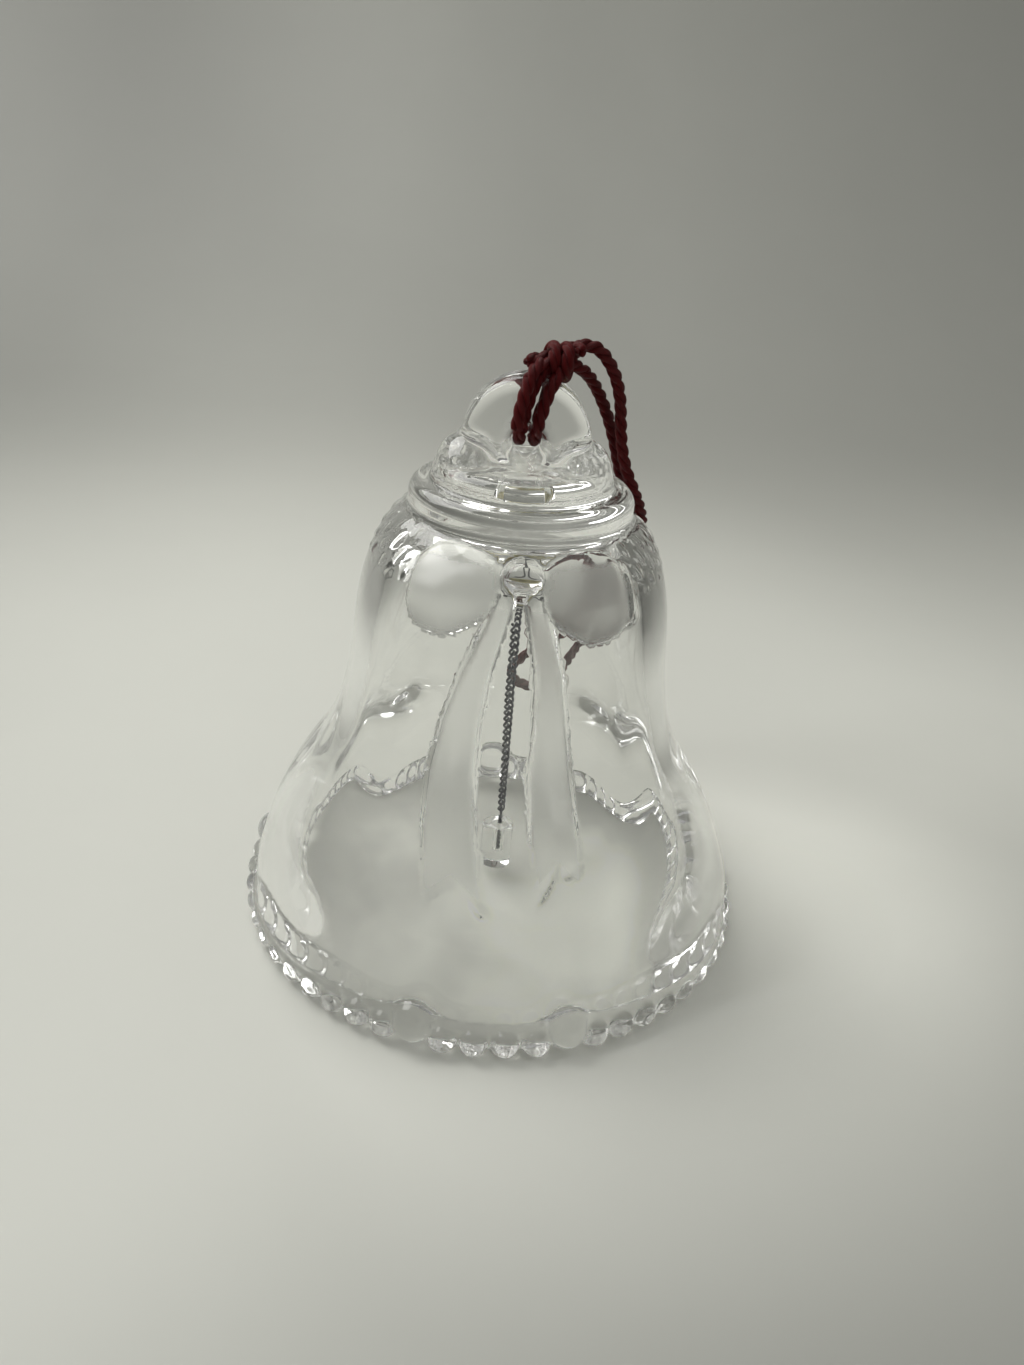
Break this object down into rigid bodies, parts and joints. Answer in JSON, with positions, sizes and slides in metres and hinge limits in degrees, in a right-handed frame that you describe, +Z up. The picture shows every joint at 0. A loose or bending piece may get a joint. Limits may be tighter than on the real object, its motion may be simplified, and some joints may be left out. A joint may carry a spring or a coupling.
{
  "type": "glass bell",
  "caption": "Clear pressed glass bell with a moulded bow, beaded hem and pierced crown disc, a chain-hung clapper inside and a twisted red hanging cord.",
  "frame": {"origin": "centre of the rim's flat underside, on the surface that the bell stands on", "axes": "+Z up the bell's axis; the moulded bow faces -Y; +X is to the right when facing the bow"},
  "size_m": [0.1092, 0.1095, 0.1202],
  "materials": {
    "glass": "clear pressed glass, polished",
    "adhesive": "hardened yellowish adhesive, uneven",
    "steel_wire": "drawn steel wire",
    "chain_steel": "dark nickel-grey fine chain",
    "pin_steel": "drawn steel wire",
    "acrylic": "clear moulded bar",
    "cord_rayon": "twisted rayon, dark crimson"
  },
  "bodies": {
    "bell": {"glass_bell": "glass", "adhesive_pad": "adhesive", "hanger_eye": "steel_wire", "cord_sling_left": "cord_rayon", "cord_sling_right": "cord_rayon", "cord_tail_front": "cord_rayon", "cord_tail_top": "cord_rayon", "cord_knot": "cord_rayon", "cord_loop": "cord_rayon"},
    "link_01": {"chain_link_01": "chain_steel"},
    "links_02_05": {"chain_link_02": "chain_steel", "chain_link_03": "chain_steel", "chain_link_04": "chain_steel", "chain_link_05": "chain_steel"},
    "links_06_09": {"chain_link_06": "chain_steel", "chain_link_07": "chain_steel", "chain_link_08": "chain_steel", "chain_link_09": "chain_steel"},
    "links_10_13": {"chain_link_10": "chain_steel", "chain_link_11": "chain_steel", "chain_link_12": "chain_steel", "chain_link_13": "chain_steel"},
    "links_14_17": {"chain_link_14": "chain_steel", "chain_link_15": "chain_steel", "chain_link_16": "chain_steel", "chain_link_17": "chain_steel"},
    "links_18_21": {"chain_link_18": "chain_steel", "chain_link_19": "chain_steel", "chain_link_20": "chain_steel", "chain_link_21": "chain_steel"},
    "links_22_25": {"chain_link_22": "chain_steel", "chain_link_23": "chain_steel", "chain_link_24": "chain_steel", "chain_link_25": "chain_steel"},
    "links_26_29": {"chain_link_26": "chain_steel", "chain_link_27": "chain_steel", "chain_link_28": "chain_steel", "chain_link_29": "chain_steel"},
    "links_30_31": {"chain_link_30": "chain_steel", "chain_link_31": "chain_steel"},
    "link_32": {"chain_link_32": "chain_steel"},
    "clapper": {"clapper_pin": "pin_steel", "clapper": "acrylic"}
  },
  "joints": [
    {"name": "chain_swing_side", "type": "hinge", "parent": "bell", "child": "link_01", "pos_m": [0.001, 0, 0.07266], "axis": [0, 1, 0], "range_deg": [-23, 23]},
    {"name": "chain_swing_front", "type": "hinge", "parent": "link_01", "child": "links_02_05", "pos_m": [0.001, 0, 0.07106], "axis": [1, 0, 0], "range_deg": [-7, 7]},
    {"name": "link_06_side", "type": "hinge", "parent": "links_02_05", "child": "links_06_09", "pos_m": [0.001, 0, 0.06466], "axis": [0, 1, 0], "range_deg": [-2.32, 2.32]},
    {"name": "link_10_front", "type": "hinge", "parent": "links_06_09", "child": "links_10_13", "pos_m": [0.001, 0, 0.05826], "axis": [1, 0, 0], "range_deg": [-0.72, 0.72]},
    {"name": "link_14_side", "type": "hinge", "parent": "links_10_13", "child": "links_14_17", "pos_m": [0.001, 0, 0.05186], "axis": [0, 1, 0], "range_deg": [-2.32, 2.32]},
    {"name": "link_18_front", "type": "hinge", "parent": "links_14_17", "child": "links_18_21", "pos_m": [0.001, 0, 0.04546], "axis": [1, 0, 0], "range_deg": [-0.72, 0.72]},
    {"name": "link_22_side", "type": "hinge", "parent": "links_18_21", "child": "links_22_25", "pos_m": [0.001, 0, 0.03906], "axis": [0, 1, 0], "range_deg": [-2.32, 2.32]},
    {"name": "link_26_front", "type": "hinge", "parent": "links_22_25", "child": "links_26_29", "pos_m": [0.001, 0, 0.03266], "axis": [1, 0, 0], "range_deg": [-0.72, 0.72]},
    {"name": "link_30_side", "type": "hinge", "parent": "links_26_29", "child": "links_30_31", "pos_m": [0.001, 0, 0.02626], "axis": [0, 1, 0], "range_deg": [-2.32, 2.32]},
    {"name": "clapper_swing_front", "type": "hinge", "parent": "links_30_31", "child": "link_32", "pos_m": [0.001, 0, 0.02306], "axis": [1, 0, 0], "range_deg": [-5, 5]},
    {"name": "clapper_swing_side", "type": "hinge", "parent": "link_32", "child": "clapper", "pos_m": [0.001, 0, 0.02146], "axis": [0, 1, 0], "range_deg": [-7.5, 7.5]}
  ],
  "couplings": [
    {"joint": "link_06_side", "follows": "chain_swing_side", "ratio": 0.1},
    {"joint": "link_10_front", "follows": "chain_swing_front", "ratio": 0.1},
    {"joint": "link_14_side", "follows": "chain_swing_side", "ratio": 0.1},
    {"joint": "link_18_front", "follows": "chain_swing_front", "ratio": 0.1},
    {"joint": "link_22_side", "follows": "chain_swing_side", "ratio": 0.1},
    {"joint": "link_26_front", "follows": "chain_swing_front", "ratio": 0.1},
    {"joint": "link_30_side", "follows": "chain_swing_side", "ratio": 0.1}
  ]
}
